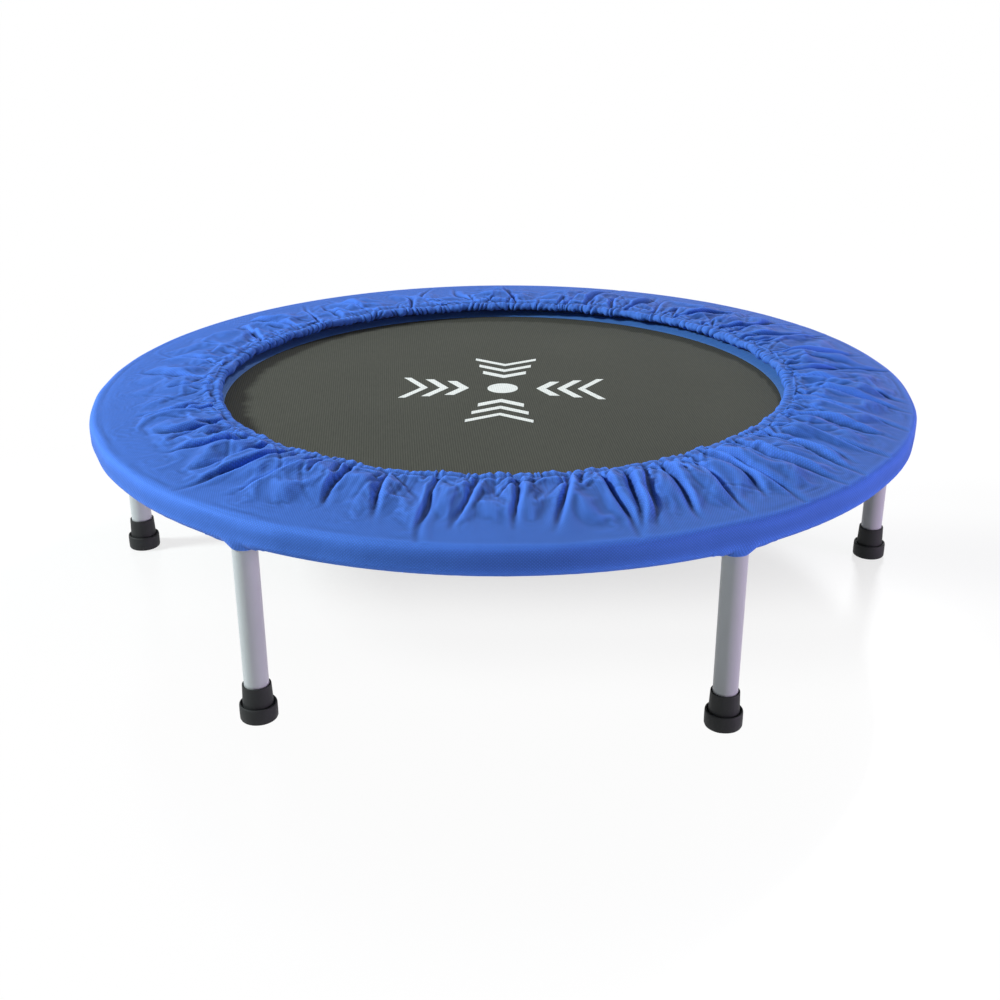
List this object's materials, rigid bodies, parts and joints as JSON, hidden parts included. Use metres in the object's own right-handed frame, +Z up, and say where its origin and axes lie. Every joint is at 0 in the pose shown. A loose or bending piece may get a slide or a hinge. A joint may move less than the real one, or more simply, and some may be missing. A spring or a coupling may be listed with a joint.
{
  "type": "mini trampoline",
  "caption": "Round mini trampoline: sprung jump mat in a steel ring on screw-on legs with rubber feet, padded by a gathered blue fabric cover.",
  "frame": {"origin": "on the floor under the centre of the ring", "axes": "+Z up along the ring's axis; the front is -Y, midway between legs 1 and 2; legs 3 and 6 stand on the X axis"},
  "size_m": [0.9646, 0.9636, 0.2376],
  "materials": {
    "ring_steel": "powder coat over steel tube",
    "leg_paint": "light grey powder coat, satin",
    "zinc_steel": "zinc plated",
    "spring_steel": "zinc plated spring wire",
    "mat_weave": "woven polypropylene, matt",
    "band_webbing": "blue woven tape",
    "black_webbing": "black woven tape",
    "foam": "soft closed-cell foam sheet",
    "cover_cloth": "twill weave polyester, low sheen",
    "elastic": "covered elastic cord",
    "foot_rubber": "matt black rubber"
  },
  "bodies": {
    "frame": {"frame_ring": "ring_steel", "leg_boss_1": "ring_steel", "leg_boss_2": "ring_steel", "leg_boss_3": "ring_steel", "leg_boss_4": "ring_steel", "leg_boss_5": "ring_steel", "leg_boss_6": "ring_steel", "leg_studs": "zinc_steel", "springs": "spring_steel", "foam_pad": "foam", "cover": "cover_cloth", "cover_inner_elastic": "elastic", "cover_hem_elastic": "elastic"},
    "mat": {"jump_mat": "mat_weave", "mat_edge_band": "band_webbing", "edge_webbing": "black_webbing", "v_rings": "zinc_steel"},
    "leg_1": {"leg_tube_1": "leg_paint", "leg_insert_1": "zinc_steel", "rubber_foot_1": "foot_rubber"},
    "leg_2": {"leg_tube_2": "leg_paint", "leg_insert_2": "zinc_steel", "rubber_foot_2": "foot_rubber"},
    "leg_3": {"leg_tube_3": "leg_paint", "leg_insert_3": "zinc_steel", "rubber_foot_3": "foot_rubber"},
    "leg_4": {"leg_tube_4": "leg_paint", "leg_insert_4": "zinc_steel", "rubber_foot_4": "foot_rubber"},
    "leg_5": {"leg_tube_5": "leg_paint", "leg_insert_5": "zinc_steel", "rubber_foot_5": "foot_rubber"},
    "leg_6": {"leg_tube_6": "leg_paint", "leg_insert_6": "zinc_steel", "rubber_foot_6": "foot_rubber"}
  },
  "joints": [
    {"name": "mat_bounce", "type": "slide", "parent": "frame", "child": "mat", "axis": [0, 0, 1], "range_m": [-0.1, 0], "stiffness_N_per_m": 5000, "springref_m": 0.004, "deforming": ["springs"]},
    {"name": "leg_1_unscrew", "type": "slide", "parent": "frame", "child": "leg_1", "axis": [0, 0, -1], "range_m": [0, 0.035]},
    {"name": "leg_2_unscrew", "type": "slide", "parent": "frame", "child": "leg_2", "axis": [0, 0, -1], "range_m": [0, 0.035]},
    {"name": "leg_3_unscrew", "type": "slide", "parent": "frame", "child": "leg_3", "axis": [0, 0, -1], "range_m": [0, 0.035]},
    {"name": "leg_4_unscrew", "type": "slide", "parent": "frame", "child": "leg_4", "axis": [0, 0, -1], "range_m": [0, 0.035]},
    {"name": "leg_5_unscrew", "type": "slide", "parent": "frame", "child": "leg_5", "axis": [0, 0, -1], "range_m": [0, 0.035]},
    {"name": "leg_6_unscrew", "type": "slide", "parent": "frame", "child": "leg_6", "axis": [0, 0, -1], "range_m": [0, 0.035]}
  ]
}
